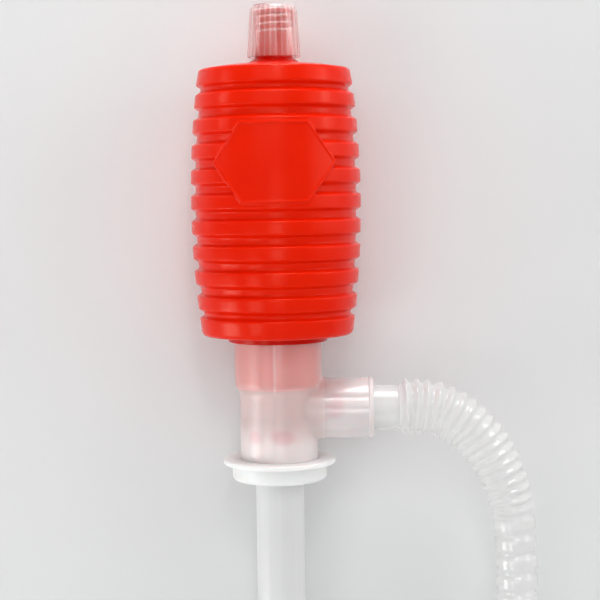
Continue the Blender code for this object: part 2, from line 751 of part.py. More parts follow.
def build():
    clear_scene()
    make_bulb(plastic("bulb_red", (0.78, 0.022, 0.008), 0.38))
    make_cap_liner(plastic("liner_white", (0.85, 0.84, 0.82), 0.5))
    make_vent_cap(plastic("cap_clear", (0.93, 0.90, 0.88), 0.12, transmission=0.9))
    make_valve_body(plastic("body_translucent", (0.86, 0.82, 0.81), 0.25, transmission=0.7))
    valve_materials = {
        "seat": plastic("valve_seat_milky", (0.85, 0.83, 0.82), 0.35, transmission=0.3),
        "flap": plastic("flap_pink", (0.72, 0.16, 0.22), 0.45),
        "pin": plastic("pin_dark_red", (0.35, 0.05, 0.08), 0.4),
    }
    suction = make_valve(
        "suction_valve", BODY_BORE_RADIUS - CLEARANCE, BEAD_RADIUS, True, valve_materials
    )
    suction.location.z = SEAT_HEIGHT
    discharge = make_valve(
        "discharge_valve",
        BRANCH_BORE_RADIUS - CLEARANCE,
        BRANCH_BORE_RADIUS,
        False,
        valve_materials,
    )
    turn_along_x(discharge, BRANCH_HEIGHT)
    discharge.location.x = BRANCH_STEP + CLEARANCE + PLATE_THICKNESS
    make_collar(plastic("collar_milky", (0.80, 0.79, 0.77), 0.35, transmission=0.2))
    make_suction_pipe(plastic("pipe_milky", (0.82, 0.82, 0.80), 0.3, transmission=0.4))
    make_foot_strainer(plastic("foot_milky", (0.80, 0.80, 0.78), 0.35, transmission=0.2))
    hose_clear = plastic("hose_clear", (0.93, 0.94, 0.94), 0.08, transmission=0.95)
    make_hose(hose_clear)
    make_inlet_cuff(plastic("cuff_clear", (0.90, 0.90, 0.88), 0.12, transmission=0.8))
    make_end_cuff(plastic("end_cuff_clear", (0.91, 0.91, 0.90), 0.12, transmission=0.8))


build()
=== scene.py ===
import math

import bmesh
import bpy
from mathutils import Matrix, Vector, noise


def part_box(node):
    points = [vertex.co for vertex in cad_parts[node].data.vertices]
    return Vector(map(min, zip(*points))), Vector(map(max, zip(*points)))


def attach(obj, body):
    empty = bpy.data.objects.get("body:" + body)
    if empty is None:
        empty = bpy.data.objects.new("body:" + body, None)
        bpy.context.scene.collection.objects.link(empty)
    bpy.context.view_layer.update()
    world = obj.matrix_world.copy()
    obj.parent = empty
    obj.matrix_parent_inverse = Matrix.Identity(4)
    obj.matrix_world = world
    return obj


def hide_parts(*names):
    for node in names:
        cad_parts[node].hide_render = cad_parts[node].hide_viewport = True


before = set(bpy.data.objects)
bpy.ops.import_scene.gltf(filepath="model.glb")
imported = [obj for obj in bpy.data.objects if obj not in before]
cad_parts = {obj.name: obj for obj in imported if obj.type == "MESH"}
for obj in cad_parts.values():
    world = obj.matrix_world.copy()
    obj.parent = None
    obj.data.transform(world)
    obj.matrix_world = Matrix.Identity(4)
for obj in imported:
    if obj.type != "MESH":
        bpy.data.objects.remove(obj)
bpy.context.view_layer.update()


# Collar: the milky polyethylene ring that rests on the can's mouth. It is injection moulded in
# one piece, with a flange, a short skirt with a rounded foot, and a socket for the valve body.
class Shade:
    """A socket in a material's nodes, or none yet. Arithmetic on it adds Math nodes."""

    def __init__(self, tree, socket=None):
        self.tree = tree
        self.socket = socket

    def node(self, kind, settings=None, values=None, out=0):
        """Adds a node, makes its settings first, fills its sockets, and gives one output."""
        made = self.tree.nodes.new(kind)
        for name, value in (settings or {}).items():
            setattr(made, name, value)
        for name, value in (values or {}).items():
            if isinstance(value, Shade):
                self.tree.links.new(value.socket, made.inputs[name])
            else:
                made.inputs[name].default_value = value
        return Shade(self.tree, made.outputs[out])

    def math(self, operation, first, second):
        return self.node("ShaderNodeMath", {"operation": operation}, {0: first, 1: second})

    def __add__(self, other):
        return self.math("ADD", self, other)

    def __radd__(self, other):
        return self.math("ADD", other, self)

    def __sub__(self, other):
        return self.math("SUBTRACT", self, other)

    def __rsub__(self, other):
        return self.math("SUBTRACT", other, self)

    def __mul__(self, other):
        return self.math("MULTIPLY", self, other)

    def __rmul__(self, other):
        return self.math("MULTIPLY", other, self)

    def along(self, axis):
        """One coordinate of a place."""
        return self.node("ShaderNodeSeparateXYZ", None, {0: self}, out="XYZ".index(axis))

    def from_axis(self):
        """How far a place lies from the upright axis."""
        level = self.node(
            "ShaderNodeVectorMath", {"operation": "MULTIPLY"}, {0: self, 1: (1.0, 1.0, 0.0)}
        )
        return level.node("ShaderNodeVectorMath", {"operation": "LENGTH"}, {0: level}, out=1)

    def to_whole(self):
        """How far a number is from the nearest whole one, from 0 to 0.5."""
        return self.math("PINGPONG", self, 0.5)

    def clouds(self, scale, detail=2.0, stretch=(1.0, 1.0, 1.0)):
        """Noise round 0.5 over the piece, in cells per metre, drawn out along an axis."""
        drawn = self.node(
            "ShaderNodeVectorMath", {"operation": "MULTIPLY"}, {0: self, 1: stretch}
        )
        return self.node(
            "ShaderNodeTexNoise", None, {"Vector": drawn, "Scale": scale, "Detail": detail}
        )

    def band(self, low, high):
        """0 below low and 1 above high, with a smooth rise between."""
        return self.node(
            "ShaderNodeMapRange",
            {"interpolation_type": "SMOOTHSTEP"},
            {"Value": self, "From Min": low, "From Max": high},
        )

    def tint(self, first, second):
        """From the first colour at 0 to the second at 1."""
        return self.node(
            "ShaderNodeMix", {"data_type": "RGBA"}, {0: self, 6: first, 7: second}, out=2
        )

    def relief(self, height):
        """The surface's normal over a relief of this height in metres."""
        return self.node(
            "ShaderNodeBump", None, {"Height": self, "Distance": height, "Strength": 1.0}
        )


def plastic(name, **constants):
    """A plastic's material and the place of each point on its piece. Each constant is a
    socket of the shader, with _ for its spaces."""
    material = bpy.data.materials.new(name)
    material.use_nodes = True
    tree = material.node_tree
    for socket, value in constants.items():
        tree.nodes["Principled BSDF"].inputs[socket.replace("_", " ")].default_value = value
    return material, Shade(tree).node("ShaderNodeTexCoord", out="Object")


def paint(material, **varying):
    """Feeds what changes over the surface to the shader's sockets."""
    shader = material.node_tree.nodes["Principled BSDF"]
    for socket, shade in varying.items():
        shade.tree.links.new(shade.socket, shader.inputs[socket.replace("_", " ")])


def rounded(corners, steps=4):
    """The points of an outline whose corners (x, y, radius) are arcs."""
    points = []
    for index, (x, y, radius) in enumerate(corners):
        corner = Vector((x, y))
        if radius == 0:
            points.append((x, y))
            continue
        before = (Vector(corners[index - 1][:2]) - corner).normalized()
        after = (Vector(corners[(index + 1) % len(corners)][:2]) - corner).normalized()
        half = before.angle(after) / 2
        centre = corner + (before + after).normalized() * (radius / math.sin(half))
        start = corner + before * (radius / math.tan(half)) - centre
        end = corner + after * (radius / math.tan(half)) - centre
        sweep = start.angle(end)
        for step in range(steps + 1):
            part = step / steps
            spoke = start * math.sin((1 - part) * sweep) + end * math.sin(part * sweep)
            points.append(tuple(centre + spoke / math.sin(sweep)))
    return points


def piece_of(name, points, faces, sharp=35):
    """A closed mesh in the scene, with its faces out and its rounded parts shaded smooth."""
    mesh = bpy.data.meshes.new(name)
    mesh.from_pydata(points, [], faces)
    form = bmesh.new()
    form.from_mesh(mesh)
    bmesh.ops.recalc_face_normals(form, faces=form.faces)
    form.to_mesh(mesh)
    form.free()
    mesh.shade_smooth()
    mesh.set_sharp_from_angle(angle=math.radians(sharp))
    piece = bpy.data.objects.new(name, mesh)
    bpy.context.scene.collection.objects.link(piece)
    return piece


def round_axis(radius, turn, height):
    """A point at this radius and turn round the upright axis."""
    return (radius * math.cos(turn), radius * math.sin(turn), height)


def ring_faces(rings):
    """The faces between rings of points, given by their numbers. A ring of one point closes
    to a tip."""
    faces = []
    for here, there in zip(rings, rings[1:]):
        count = max(len(here), len(there))
        for side in range(count):
            after = (side + 1) % count
            if len(here) == 1:
                faces.append((here[0], there[after], there[side]))
            elif len(there) == 1:
                faces.append((here[side], here[after], there[0]))
            else:
                faces.append((here[side], here[after], there[after], there[side]))
    return faces


def turned(name, outline, segments=96, hollow=True):
    """A piece turned round +Z from an outline of (radius, height). A hollow outline closes on
    itself, and a solid one starts and ends on the axis."""
    points = []
    rings = []
    for radius, height in outline:
        start = len(points)
        count = segments if radius > 1e-7 else 1
        for side in range(count):
            points.append(round_axis(radius, 2 * math.pi * side / segments, height))
        rings.append(range(start, start + count))
    if hollow:
        rings.append(rings[0])
    return piece_of(name, points, ring_faces(rings))


flange_low, flange_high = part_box("collar")
flange_radius = flange_high.x
body_low, body_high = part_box("valve_body")
body_radius = 0.0156
pipe_low, pipe_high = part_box("suction_pipe")
pipe_radius = pipe_high.x
gap = 0.0003
flange_top = 0.002
skirt_radius = 0.019
collar_bore = body_radius + 0.0001
collar_floor = body_low.z - gap

milky, spot = plastic(
    "milky_polyethylene",
    Subsurface_Weight=1.0,
    Subsurface_Radius=(1.0, 0.9, 0.85),
    Subsurface_Scale=0.004,
    IOR=1.45,
)
drift = spot.clouds(90.0)
paint(
    milky,
    Base_Color=drift.tint((0.85, 0.85, 0.84, 1.0), (0.89, 0.89, 0.88, 1.0)),
    Roughness=0.34 + 0.12 * spot.clouds(420.0),
    Normal=(spot.clouds(1600.0, 3.0) + 3.0 * drift).relief(0.00003),
)

collar = turned(
    "collar_moulding",
    rounded(
        [
            (collar_bore, flange_top, 0.0003),
            (flange_radius, flange_top, 0.0005),
            (flange_radius, 0.0, 0.0004),
            (skirt_radius, 0.0, 0.0004),
            (skirt_radius, flange_low.z, 0.0018),
            (pipe_radius + gap, flange_low.z, 0.0003),
            (pipe_radius + gap, collar_floor, 0.0003),
            (collar_bore, collar_floor, 0.0004),
        ]
    ),
    segments=128,
)
collar.data.materials.append(milky)
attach(collar, "pump")
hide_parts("collar")


# Suction pipe: a straight length of milky polyethylene tube, extruded and cut off square. It
# is pushed into the socket under the suction valve's plate.
pipe_wall = 0.0015
tube, spot = plastic(
    "extruded_tube",
    Subsurface_Weight=1.0,
    Subsurface_Radius=(1.0, 1.0, 1.0),
    Subsurface_Scale=0.004,
    IOR=1.45,
)
streaks = spot.clouds(700.0, 2.0, (1.0, 1.0, 0.015))
paint(
    tube,
    Base_Color=streaks.tint((0.78, 0.78, 0.78, 1.0), (0.84, 0.84, 0.84, 1.0)),
    Roughness=0.30 + 0.08 * spot.clouds(300.0, 2.0, (1.0, 1.0, 0.1)),
    Normal=streaks.relief(0.00002),
)
pipe = turned(
    "suction_tube",
    rounded(
        [
            (pipe_radius - pipe_wall, pipe_high.z, 0.0002),
            (pipe_radius, pipe_high.z, 0.0003),
            (pipe_radius, pipe_low.z, 0.0003),
            (pipe_radius - pipe_wall, pipe_low.z, 0.0002),
        ],
        steps=3,
    ),
)
pipe.data.materials.append(tube)
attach(pipe, "pump")
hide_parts("suction_pipe")


# Strainer foot: a moulded cap pressed over the pipe's lower end. Upright slots round it let
# the liquid in and keep dirt out.
foot_low, foot_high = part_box("foot_strainer")
foot_radius = foot_high.x
slot_width, slot_height, slot_land = 0.0026, 0.0075, 0.0011
ledge = pipe_low.z - gap
chamber = pipe_radius - pipe_wall
slot_top = ledge - slot_land
slot_foot = slot_top - slot_height
sliver = 0.000001  # points closer than this become one


def cut(piece, cutter):
    """Cuts the cutter's form out of a piece, merges the slivers, and removes the cutter."""
    tool = piece.modifiers.new("cut", "BOOLEAN")
    tool.object = cutter
    tool.operation = "DIFFERENCE"
    graph = bpy.context.evaluated_depsgraph_get()
    mesh = bpy.data.meshes.new_from_object(piece.evaluated_get(graph))
    piece.modifiers.clear()
    old = piece.data
    piece.data = mesh
    bpy.data.meshes.remove(old)
    bpy.data.objects.remove(cutter)
    form = bmesh.new()
    form.from_mesh(mesh)
    bmesh.ops.remove_doubles(form, verts=form.verts, dist=sliver)
    form.to_mesh(mesh)
    form.free()
    mesh.shade_smooth()
    mesh.set_sharp_from_angle(angle=math.radians(35))


foot = turned(
    "strainer_foot",
    rounded(
        [
            (0.0, slot_foot - slot_land, 0),
            (chamber, slot_foot - slot_land, 0.0003),
            (chamber, ledge, 0.0002),
            (pipe_radius + gap, ledge, 0.0002),
            (pipe_radius + gap, foot_high.z, 0.0002),
            (foot_radius, foot_high.z, 0.0003),
            (foot_radius, foot_low.z, 0.0012),
            (0.0, foot_low.z, 0),
        ]
    ),
    hollow=False,
)
for pair in range(3):
    reach = foot_radius + 0.002
    half = slot_width / 2
    across = [(-reach, -half), (reach, -half), (reach, half), (-reach, half)]
    corners = [(x, y, z) for z in (slot_foot, slot_top) for x, y in across]
    sides = [(0, 1, 2, 3), (4, 5, 6, 7)]
    sides += [(side, (side + 1) % 4, (side + 1) % 4 + 4, side + 4) for side in range(4)]
    slot = piece_of("slot_cutter", corners, sides)
    slot.rotation_euler.z = math.pi * (pair + 0.5) / 3
    cut(foot, slot)
foot.data.materials.append(milky)
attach(foot, "pump")
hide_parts("foot_strainer")


# Valve seats, flaps and pins: the two plates are moulded in frosted polyethylene, and each flap
# is cut from soft red sheet and hangs on a short pin between the plate's ears.
red_sheet, spot = plastic("red_flap_sheet", Specular_IOR_Level=0.4)
paint(
    red_sheet,
    Base_Color=spot.clouds(500.0).tint((0.60, 0.03, 0.06, 1.0), (0.72, 0.06, 0.09, 1.0)),
    Roughness=0.45 + 0.1 * spot.clouds(900.0),
    Normal=spot.clouds(2500.0).relief(0.00002),
)
pin_stock, spot = plastic("pin_stock", Specular_IOR_Level=0.5)
paint(
    pin_stock,
    Base_Color=spot.clouds(800.0).tint((0.20, 0.02, 0.03, 1.0), (0.28, 0.03, 0.05, 1.0)),
    Roughness=0.35 + 0.1 * spot.clouds(1500.0),
)


def refinish(node, material):
    """Gives a solid of the frame its material."""
    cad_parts[node].data.materials.clear()
    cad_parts[node].data.materials.append(material)


for side in ("suction", "discharge"):
    refinish(side + "_flap", red_sheet)
    refinish(side + "_flap_pin", pin_stock)


# Valve body: one injection-moulded piece in frosted polyethylene. A cup for the bulb's plug
# stands on a straight tube, and a branch with a ring at its mouth leaves the side.
branch_height = 0.0219
branch_radius = 0.01215
branch_mouth = body_high.x
cup_radius = 0.0175
cup_floor = 0.0316
flare_foot, flare_rise = 0.0288, 0.0031
root_blend = 0.0019  # radius of the blend between the branch and the body
columns = 64
patch_columns = 13  # the branch grows out of this many columns to each side
patch_rows = 16
patch_half = 0.0151
edge_near, edge_far = 0.0002, 0.0009  # rings this far from an edge keep it crisp
lid_radius = 0.008  # the closed ends have a ring here
mould_line = -0.0013  # where the two halves of the mould meet


def body_side(height):
    """Outer radius of the body at a height: the tube, the flare and the cup."""
    part = min(1.0, max(0.0, (height - flare_foot) / flare_rise))
    return body_radius + (cup_radius - body_radius) * part * part * (3 - 2 * part)


def body_blank():
    """The body's outside as a closed form with a blended branch, before it is bored out."""
    points = []

    def ring(radius, height):
        start = len(points)
        for side in range(columns):
            points.append(round_axis(radius, 2 * math.pi * side / columns, height))
        return range(start, start + columns)

    def tip(x, height):
        points.append((x, 0.0, height))
        return range(len(points) - 1, len(points))

    rim = body_high.z
    heights = [
        branch_height - patch_half + 2 * patch_half * row / patch_rows
        for row in range(patch_rows + 1)
    ]
    rings = [tip(0.0, body_low.z), ring(lid_radius, body_low.z)]
    for radius, height in (
        (body_radius - edge_far, body_low.z),
        (body_radius - edge_near, body_low.z),
        (body_radius, body_low.z + edge_near),
        (body_radius, body_low.z + edge_far),
        (body_radius, 0.0),
        (body_radius, 0.0035),
    ):
        rings.append(ring(radius, height))
    first = len(rings)
    for height in heights:
        rings.append(ring(body_side(height), height))
    for radius, height in (
        (cup_radius, 0.0405),
        (cup_radius, 0.0450),
        (cup_radius, rim - edge_far),
        (cup_radius, rim - edge_near),
        (cup_radius - edge_near, rim),
        (cup_radius - edge_far, rim),
        (lid_radius, rim),
    ):
        rings.append(ring(radius, height))
    rings.append(tip(0.0, rim))
    faces = []
    for number, (here, there) in enumerate(zip(rings, rings[1:])):
        inside = first <= number < first + patch_rows
        for face in ring_faces([here, there]):
            side = face[0] - here[0]
            near = side < patch_columns or side >= columns - patch_columns
            if not (inside and near):
                faces.append(face)

    # The edge of the opening left for the branch, round from its lower left corner.
    reach = range(-patch_columns, patch_columns + 1)
    bottom, top = rings[first], rings[first + patch_rows]
    middle = rings[first + 1 : first + patch_rows]
    edge = [bottom[side % columns] for side in reach]
    edge += [row[patch_columns] for row in middle]
    edge += [top[side % columns] for side in reversed(reach)]
    edge += [row[-patch_columns % columns] for row in reversed(middle)]
    spokes = []
    for number in edge:
        x, y, z = points[number]
        spokes.append((y, z - branch_height))

    def on_body(y, z):
        side = body_side(branch_height + z)
        return (math.sqrt(max(0.0, side * side - y * y)), y, branch_height + z)

    loops = [edge]
    goal = branch_radius + root_blend
    steps = 3
    for step in range(1, steps + 1):
        start = len(points)
        for y, z in spokes:
            length = math.hypot(y, z)
            part = step / steps
            scale = (1 - part) + part * goal / length
            points.append(on_body(y * scale, z * scale))
        loops.append(range(start, start + len(spokes)))
    for part in (0.3, 0.6, 1.0):
        start = len(points)
        for y, z in spokes:
            length = math.hypot(y, z)
            y, z = y / length, z / length
            outer = Vector(on_body(y * goal, z * goal))
            corner = Vector(on_body(y * branch_radius, z * branch_radius))
            along = corner + Vector((root_blend, 0.0, 0.0))
            bend = outer * (1 - part) ** 2 + corner * 2 * part * (1 - part) + along * part**2
            points.append(tuple(bend))
        loops.append(range(start, start + len(spokes)))
    for radius, x in (
        (branch_radius, 0.0225),
        (branch_radius, 0.0290),
        (branch_radius, branch_mouth - 0.0026),
        (branch_radius, branch_mouth - 0.0019),
        (branch_radius + 0.0003, branch_mouth - 0.0017),
        (branch_radius + 0.0004, branch_mouth - 0.0012),
        (branch_radius + 0.0004, branch_mouth - 0.0004),
        (branch_radius + 0.0001, branch_mouth),
        (branch_radius - 0.0008, branch_mouth),
        (0.005, branch_mouth),
    ):
        start = len(points)
        for y, z in spokes:
            length = math.hypot(y, z)
            points.append((x, radius * y / length, branch_height + radius * z / length))
        loops.append(range(start, start + len(spokes)))
    loops.append(tip(branch_mouth, branch_height))
    faces += ring_faces(loops)
    return piece_of("valve_body_moulding", points, faces)


frosted, spot = plastic(
    "frosted_polyethylene",
    Subsurface_Weight=1.0,
    Subsurface_Radius=(1.0, 0.75, 0.7),
    Subsurface_Scale=0.0012,
    IOR=1.6,
    Specular_IOR_Level=1.0,
)
drift = spot.clouds(110.0)
height = spot.along("Z") + 0.003 * drift
# Painted red glow: over the frosted plastic's own pale pink, the wall is painted pinker upwards
# towards the bulb's red plug, deep pink over the cup where the plug sits, and paler again out
# along the branch.
hue = height.band(0.0, 0.03).tint((0.97, 0.84, 0.83, 1.0), (0.97, 0.72, 0.70, 1.0))
hue = height.band(0.0312, 0.0340).tint(hue, (0.96, 0.48, 0.45, 1.0))
hue = spot.along("X").band(0.014, 0.022).tint(hue, (0.97, 0.86, 0.86, 1.0))
across = spot.along("X") - mould_line
across = across.math("ABSOLUTE", across, 0.0)
line = (1.0 - across.band(0.0002, 0.0009)) * height.band(0.03, 0.033)
low = 1.0 - height.band(0.009, 0.021)
# Painted shadow: a thin dark pink line at the cup's floor, where the plug's end meets it,
# stands in for the shade in that gap, tinted by the red plug.
above = spot.along("Z") - cup_floor
ledge = above.band(-0.0008, -0.0004) - above.band(-0.0002, 0.0002)
ledge = ledge * (1.0 - spot.along("X").band(0.008, 0.012))
hue = (0.5 * ledge).tint(hue, (0.78, 0.20, 0.22, 1.0))

# Painted glow: the red flaps' light through the frosted wall is painted as soft patches, which
# stay where they are when the flaps swing, each with its half width, its half height and its
# strength.
for x, z, half_width, half_height, strength in (
    (-0.0093, 0.0121, 0.0036, 0.0034, 0.6),
    (0.0017, 0.0121, 0.0064, 0.0038, 0.75),
    (0.0226, 0.0240, 0.0048, 0.0072, 0.5),
):
    sideways = (spot.along("X") - x) * (1 / half_width)
    upright = (spot.along("Z") - z) * (1 / half_height)
    painted_flap_glow = 1.0 - (sideways * sideways + upright * upright).band(0.0, 1.0)
    hue = (strength * painted_flap_glow).tint(hue, (0.93, 0.58, 0.61, 1.0))
cup = height.band(0.031, 0.034) - height.band(0.034, 0.050)
paint(
    frosted,
    Base_Color=(0.35 * line).tint(hue, (0.97, 0.86, 0.85, 1.0)),
    Roughness=0.30 - 0.15 * spot.along("X").band(0.0180, 0.0190) + 0.05 * spot.clouds(240.0),
    Alpha=0.50 + 0.38 * low + 0.06 * cup + 0.05 * line + 0.2 * ledge + 0.05 * drift,
    Normal=(spot.clouds(1400.0, 3.0) + 4.0 * drift).relief(0.00004),
)

# The valve seats inside are moulded in the same plastic.
refinish("suction_valve_seat", frosted)
refinish("discharge_valve_seat", frosted)

body = body_blank()
smoothing = body.modifiers.new("smoothing", "SUBSURF")
smoothing.levels = smoothing.render_levels = 2
cup_bore = 0.0157
body_bore = 0.0138
bead = body_bore - 0.0011
branch_bore = 0.01015
seat_top = 0.0115
step_at = 0.0159
beyond = 0.002
body_core = turned(
    "body_core",
    rounded(
        [
            (0.0, body_high.z + beyond, 0),
            (cup_bore, body_high.z + beyond, 0),
            (cup_bore, cup_floor, 0.0003),
            (body_bore, cup_floor, 0.0003),
            (body_bore, seat_top + 0.0021, 0.0003),
            (bead, seat_top + 0.001, 0.0002),
            (bead, seat_top, 0.0002),
            (body_bore, seat_top, 0),
            (body_bore, body_low.z - beyond, 0),
            (0.0, body_low.z - beyond, 0),
        ],
        steps=3,
    ),
    hollow=False,
)
cut(body, body_core)
branch_core = turned(
    "branch_core",
    rounded(
        [
            (0.0, branch_mouth + beyond, 0),
            (branch_bore, branch_mouth + beyond, 0),
            (branch_bore, step_at, 0.0003),
            (branch_bore - 0.0013, step_at, 0.0003),
            (branch_bore - 0.0013, 0.0, 0),
            (0.0, 0.0, 0),
        ],
        steps=3,
    ),
    hollow=False,
)
branch_core.rotation_euler.y = math.pi / 2
branch_core.location.z = branch_height
cut(body, branch_core)
body.data.materials.clear()
body.data.materials.append(frosted)
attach(body, "pump")
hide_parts("valve_body")


# Squeeze bulb: blow moulded in soft red polyethylene, with eleven ribs, a smooth six-sided
# panel with a raised edge on its front, a threaded neck on top and a plug below for the cup.
bulb_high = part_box("bulb")[1]
barrel_half = 0.1067 / 2
barrel_radius = bulb_high.x
barrel_bottom = 0.052
barrel_top = barrel_bottom + 2 * barrel_half
barrel_middle = barrel_bottom + barrel_half
barrel_bulge = 0.0038
dome_foot, dome_edge = 0.0107, 0.0224
ribs = 11
rib_width, end_rib_width, rib_depth, rib_flank = 0.0049, 0.0072, 0.0019, 0.0013
bulb_wall = 0.0015
wall_turn = 0.004  # the inner wall starts and ends this far from the barrel's ends
boss_radius, boss_foot, boss_bore, boss_floor = 0.0199, 0.0494, 0.0177, 0.0501
stopper_radius, stopper_bore = 0.0154, 0.0138
neck_bore, neck_core, neck_chamfer = 0.0055, 0.0071, 0.0004
neck_thread, thread_pitch, thread_length = 0.0005, 0.0028, 0.0072
panel_half_width, panel_half_height, panel_half_flat = 0.02375, 0.0156, 0.0131
panel_middle = barrel_middle + 0.0152
panel_edge_width, panel_edge_height = 0.0006, 0.0003
seam_width, seam_height = 0.0007, 0.00012
waver = 0.00007  # slow unevenness of the blown wall
front_sweep = math.radians(48)  # to each side, with closer columns for the panel's edge
front_columns, back_columns = 220, 110


def barrel(height):
    """Radius over the ribs at a height."""
    share = (height - barrel_middle) / barrel_half
    return barrel_radius - barrel_bulge * share * share


def fine(outline, step):
    """The outline with points added where two lie further apart than the step there."""
    points = []
    for start, end in zip(outline, outline[1:]):
        count = max(1, math.ceil(math.dist(start, end) / step((start[1] + end[1]) / 2)))
        for part in range(count):
            points.append(tuple(a + (b - a) * part / count for a, b in zip(start, end)))
    return points + [outline[-1]]


def barrel_outline():
    """The barrel's outside, from its top corner down over the ribs to its bottom corner."""
    pitch = (2 * barrel_half - end_rib_width) / (ribs - 1)
    corners = [(0.0075, dome_top + 0.0017, 0), (dome_foot, dome_top - 0.0003, 0.001)]
    corners += [(0.0165, dome_top - 0.0009, 0.01), (dome_edge, dome_top - 0.0016, 0.01)]
    corners += [(0.0281, dome_top - 0.0026, 0.006)]
    for rib in range(ribs):
        width = end_rib_width if rib in (0, ribs - 1) else rib_width
        middle = barrel_top - end_rib_width / 2 - rib * pitch
        top, bottom = middle + width / 2, middle - width / 2
        if rib:
            corners.append((barrel(top) - rib_depth, top + rib_flank, 0.0009))
            corners.append((barrel(top), top, 0.0008))
        else:
            corners.append((barrel(top) - 0.0001, top - 0.0010, 0.0013))
        if rib < ribs - 1:
            corners.append((barrel(bottom), bottom, 0.0008))
            corners.append((barrel(bottom) - rib_depth, bottom - rib_flank, 0.0009))
        else:
            corners.append((barrel(bottom), bottom, 0.0022))
    corners.append((boss_radius, barrel_bottom, 0))
    return rounded(corners, steps=5)


def inside_panel(x, height):
    """How far a point lies inside the panel's six sides, seen from the front."""
    x, rise = abs(x), abs(height - panel_middle)
    run = panel_half_width - panel_half_flat
    slope = math.hypot(run, panel_half_height)
    slanted = (panel_half_height * (panel_half_width - x) - run * rise) / slope
    return min(panel_half_height - rise, slanted)


def smooth(low, high, value):
    """0 below low and 1 above high, with a smooth rise between."""
    part = min(1.0, max(0.0, (value - low) / (high - low)))
    return part * part * (3 - 2 * part)


def outside_point(radius, height, turn):
    """Where a point of the barrel's outside lies once the panel and the seam are added."""
    x = barrel(height) * math.cos(turn)
    y = barrel(height) * math.sin(turn)
    if y < 0:
        inside = inside_panel(x, height)
        edge = 1 - smooth(0.0, panel_edge_width, abs(inside - 0.0005))
        face = barrel(height) + 0.0001 + panel_edge_height * edge
        radius += (face - radius) * smooth(-0.0006, 0.0, inside)
    radius += seam_height * (1 - smooth(0.0, seam_width, abs(y)))
    radius += waver * noise.noise(Vector((x * 55, y * 55, height * 80)))
    return round_axis(radius, turn, height)


neck_top = bulb_high.z
dome_top = barrel_top + 0.0018
shoulder = 0.0255  # the panel and the seam lie further out than this


def make_bulb():
    """The bulb: its outline goes down the outside and up the inside, and is turned round."""

    def step(height):
        near = abs(height - panel_middle) < panel_half_height + 0.001
        return 0.00035 if near else 0.0012

    def inner_wall(part):
        height = barrel_bottom + wall_turn + (2 * barrel_half - 2 * wall_turn) * part
        return (barrel(height) - rib_depth - bulb_wall, height)

    outline = [(neck_bore, neck_top), (neck_core - neck_chamfer, neck_top)]
    outline.append((neck_core, neck_top - neck_chamfer))
    thread_rows = 56
    thread_foot = neck_top - thread_length
    for row in range(1, thread_rows + 1):
        drop = neck_chamfer + (thread_length - neck_chamfer) * row / thread_rows
        outline.append((neck_core, neck_top - drop))
    barrel_start = len(outline)
    outline += fine(barrel_outline(), step)
    barrel_end = len(outline)
    outline += rounded(
        [
            (boss_radius, barrel_bottom + 0.001, 0),
            (boss_radius, boss_foot, 0.0004),
            (boss_bore, boss_foot, 0.0003),
            (boss_bore, boss_floor, 0.0002),
            (stopper_radius, boss_floor, 0.0002),
            (stopper_radius, cup_floor + gap, 0.0008),
            (stopper_bore, cup_floor + gap, 0.0004),
            (stopper_bore, barrel_bottom + bulb_wall, 0.001),
            (0.0250, barrel_bottom + bulb_wall, 0.002),
            (*inner_wall(0), 0),
        ],
        steps=3,
    )[1:]
    outline += [inner_wall(part / 10) for part in range(1, 11)]
    outline += [(0.0262, barrel_top - 0.0025), (dome_edge, barrel_top - 0.0011)]
    outline += [(dome_foot, barrel_top + 0.0003), (neck_bore, barrel_top + 0.0003)]

    turns = []
    for first, sweep, count in (
        (-math.pi / 2 - front_sweep, 2 * front_sweep, front_columns),
        (-math.pi / 2 + front_sweep, 2 * math.pi - 2 * front_sweep, back_columns),
    ):
        turns += [first + sweep * number / count for number in range(count)]
    points = []
    rings = []
    for number, (radius, height) in enumerate(outline):
        start = len(points)
        for turn in turns:
            if barrel_start < number < barrel_end and radius > shoulder:
                points.append(outside_point(radius, height, turn))
            elif radius == neck_core and thread_foot < height < neck_top - 0.0006:
                phase = (height / thread_pitch - turn / (2 * math.pi)) % 1.0
                ridge = smooth(0.16, 0.40, 0.5 - abs(phase - 0.5))
                fade = smooth(thread_foot, thread_foot + 0.0012, height)
                reach = radius + neck_thread * ridge * fade
                points.append(round_axis(reach, turn, height))
            else:
                points.append(round_axis(radius, turn, height))
        rings.append(range(start, start + len(turns)))
    rings.append(rings[0])
    return piece_of("squeeze_bulb", points, ring_faces(rings), sharp=50)


red_skin, spot = plastic(
    "red_bulb_skin",
    Subsurface_Weight=0.1,
    Subsurface_Radius=(1.0, 0.12, 0.05),
    Subsurface_Scale=0.003,
    IOR=1.5,
    Specular_IOR_Level=0.17,
    Specular_Tint=(1.0, 0.75, 0.55, 1.0),
)
drift = spot.clouds(45.0)
hue = drift.tint((0.75, 0.009, 0.0003, 1.0), (0.80, 0.015, 0.0006, 1.0))
height = spot.along("Z")
# Painted shade: the neck under the cap, the ring of the boss under the barrel and the plug's
# end in the cup are painted a deeper red, where little light reaches them.
painted_shade = height.band(dome_top - 0.0004, dome_top)
painted_shade = painted_shade + height.band(boss_foot - 0.0009, boss_foot - 0.0004)
painted_shade = painted_shade - height.band(barrel_bottom - 0.0012, barrel_bottom - 0.0002)
painted_shade = painted_shade + 0.8 * (1.0 - height.band(cup_floor + 0.0008, cup_floor + 0.0012))
paint(
    red_skin,
    Base_Color=painted_shade.tint(hue, (0.52, 0.003, 0.0005, 1.0)),
    Roughness=0.19 + 0.06 * spot.clouds(130.0),
    Normal=(spot.clouds(2600.0, 3.0) + 2.0 * spot.clouds(300.0)).relief(0.00003),
)
bulb = make_bulb()
bulb.data.materials.append(red_skin)
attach(bulb, "pump")
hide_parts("bulb")


# Cap liner: a disc punched from the same soft red sheet as the flaps. It seals the neck's rim
# under the cap's roof.
refinish("cap_liner", red_sheet)


